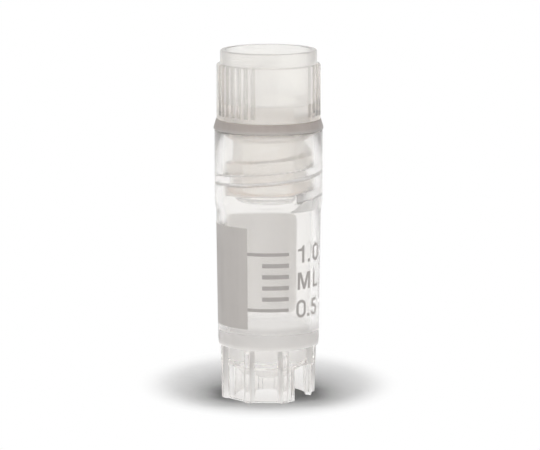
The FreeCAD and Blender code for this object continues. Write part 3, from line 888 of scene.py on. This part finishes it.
# ---------------------------------------------------------------- table
# The vial stands on a plain white table. Close to the foot it takes the softbox's shadow, deepened
# by a painted shadow from ambient occlusion, and in front of the foot that painted shadow is lifted
# by painted light, standing in for light that comes through the clear foot. Further off it is as
# white as the background.
SHADOW_HALF_WIDTH = 0.0155
SHADOW_HALF_DEPTH = 0.020
SHADOW_BACK = 0.0065
SHADOW_REACH = 0.018
bpy.ops.mesh.primitive_plane_add(size=6)
table = bpy.context.object
table.name = "table"
surface = bpy.data.materials.new("white table")
surface.use_nodes = True
tree = surface.node_tree
matt = tree.nodes["Principled BSDF"]
output = tree.nodes["Material Output"]
matt.inputs["Roughness"].default_value = 0.9
matt.inputs["Specular IOR Level"].default_value = 0.0
painted_shadow_occlusion = add_node(tree, "ShaderNodeAmbientOcclusion", {"Distance": SHADOW_REACH}, samples=8)
painted_contact_shadow = add_node(
    tree,
    "ShaderNodeMapRange",
    {
        "Value": painted_shadow_occlusion.outputs["AO"],
        "From Min": 0.6,
        "From Max": 1.0,
        "To Min": 0.14,
        "To Max": 0.88,
    },
).outputs[0]
place = tree.nodes.new("ShaderNodeTexCoord").outputs["Object"]
along = add_node(tree, "ShaderNodeSeparateXYZ", {"Vector": place}).outputs["Y"]
painted_front_light = add_node(
    tree,
    "ShaderNodeMapRange",
    {"Value": along, "From Min": -0.003, "From Max": -0.0095, "To Min": 0.2, "To Max": 0.6},
).outputs[0]
# Painted shadow near the foot, lifted in front by painted light.
tone = add_node(tree, "ShaderNodeMath", {0: painted_contact_shadow, 1: painted_front_light}, operation="MAXIMUM").outputs[0]
tree.links.new(tone, matt.inputs["Base Color"])
around = add_node(
    tree,
    "ShaderNodeMapping",
    {
        "Vector": place,
        "Scale": (1 / SHADOW_HALF_WIDTH, 1 / SHADOW_HALF_DEPTH, 1),
        "Location": (0, -SHADOW_BACK / SHADOW_HALF_DEPTH, 0),
    },
)
off_shadow = add_node(
    tree, "ShaderNodeVectorMath", {0: around.outputs[0]}, operation="LENGTH"
).outputs["Value"]
open_table = add_node(
    tree,
    "ShaderNodeMapRange",
    {"Value": off_shadow, "From Min": 0.68, "From Max": 1.02},
    interpolation_type="SMOOTHSTEP",
).outputs[0]


def through_or_off_gloss(tree):
    """1 for a ray that has gone through something clear or off something glossy."""
    ray = tree.nodes.new("ShaderNodeLightPath").outputs
    rays = {0: ray["Is Glossy Ray"], 1: ray["Is Transmission Ray"]}
    return add_node(tree, "ShaderNodeMath", rays, operation="MAXIMUM").outputs[0]


straight = tree.nodes.new("ShaderNodeLightPath").outputs["Is Camera Ray"]
direct = add_node(tree, "ShaderNodeMath", {0: straight, 1: open_table}, operation="MULTIPLY")
white = add_node(tree, "ShaderNodeEmission", {"Color": (1, 1, 1, 1), "Strength": 1.0})
share = add_node(
    tree,
    "ShaderNodeMath",
    {0: through_or_off_gloss(tree), 1: direct.outputs[0]},
    operation="MAXIMUM",
)
mix = add_node(tree, "ShaderNodeMixShader", {"Fac": share.outputs[0]})
tree.links.new(matt.outputs[0], mix.inputs[1])
tree.links.new(white.outputs[0], mix.inputs[2])
tree.links.new(mix.outputs[0], output.inputs["Surface"])
table.data.materials.append(surface)

# ---------------------------------------------------------------- studio
# White walls stand all round under a greyer ceiling, with a soft light overhead, a little in front.
# Seen directly, through the plastic or in its gloss, they are all white.
WALL_LIGHT = 1.0
CEILING_LIGHT = 0.35
world = bpy.data.worlds.new("studio")
bpy.context.scene.world = world
world.use_nodes = True
tree = world.node_tree
backdrop = tree.nodes["Background"]
backdrop.inputs["Color"].default_value = (1, 1, 1, 1)
place = tree.nodes.new("ShaderNodeTexCoord")
around = place.outputs["Generated"]
upward = add_node(tree, "ShaderNodeSeparateXYZ", {"Vector": around}).outputs["Z"]
lit = add_node(
    tree,
    "ShaderNodeMapRange",
    {
        "Value": upward,
        "From Min": 0.3,
        "From Max": 0.7,
        "To Min": WALL_LIGHT,
        "To Max": CEILING_LIGHT,
    },
).outputs[0]
straight = tree.nodes.new("ShaderNodeLightPath").outputs["Is Camera Ray"]
seen = add_node(
    tree, "ShaderNodeMath", {0: through_or_off_gloss(tree), 1: straight}, operation="MAXIMUM"
).outputs[0]
level = add_node(tree, "ShaderNodeMix", {"Factor": seen, "A": lit, "B": 1.0}).outputs[0]
tree.links.new(level, backdrop.inputs["Strength"])

SOFTBOX_FRONT = 0.5
SOFTBOX_HEIGHT = 1.4
softbox = bpy.data.lights.new("overhead softbox", "AREA")
softbox.shape = "DISK"
softbox.size = 0.9
softbox.energy = 14.7
overhead = bpy.data.objects.new("overhead softbox", softbox)
overhead.location = (0, -SOFTBOX_FRONT, SOFTBOX_HEIGHT)
overhead.rotation_euler = (math.atan2(SOFTBOX_FRONT, SOFTBOX_HEIGHT), 0, 0)
overhead.visible_glossy = False
overhead.visible_transmission = False
bpy.context.scene.collection.objects.link(overhead)

# ---------------------------------------------------------------- camera
# A long lens looks a little down on the vial from in front.
AIM = Vector((0.00017, 0, 0.020))
DISTANCE = 0.4
LOOK_DOWN = math.radians(9.4)
lens = bpy.data.cameras.new("camera")
lens.lens = 230
lens.sensor_width = 36
lens.clip_start = 0.01
camera = bpy.data.objects.new("camera", lens)
camera.location = AIM + DISTANCE * Vector((0, -math.cos(LOOK_DOWN), math.sin(LOOK_DOWN)))
camera.rotation_euler = (AIM - camera.location).to_track_quat("-Z", "Y").to_euler()
bpy.context.scene.collection.objects.link(camera)
bpy.context.scene.camera = camera
bpy.context.scene.view_settings.view_transform = "Standard"

# Light goes through many walls here, so its paths are long, and the filter that dulls gloss is off.
paths = bpy.context.scene.cycles
paths.max_bounces = 24
paths.transmission_bounces = 24
paths.diffuse_bounces = 8
paths.glossy_bounces = 12
paths.blur_glossy = 0
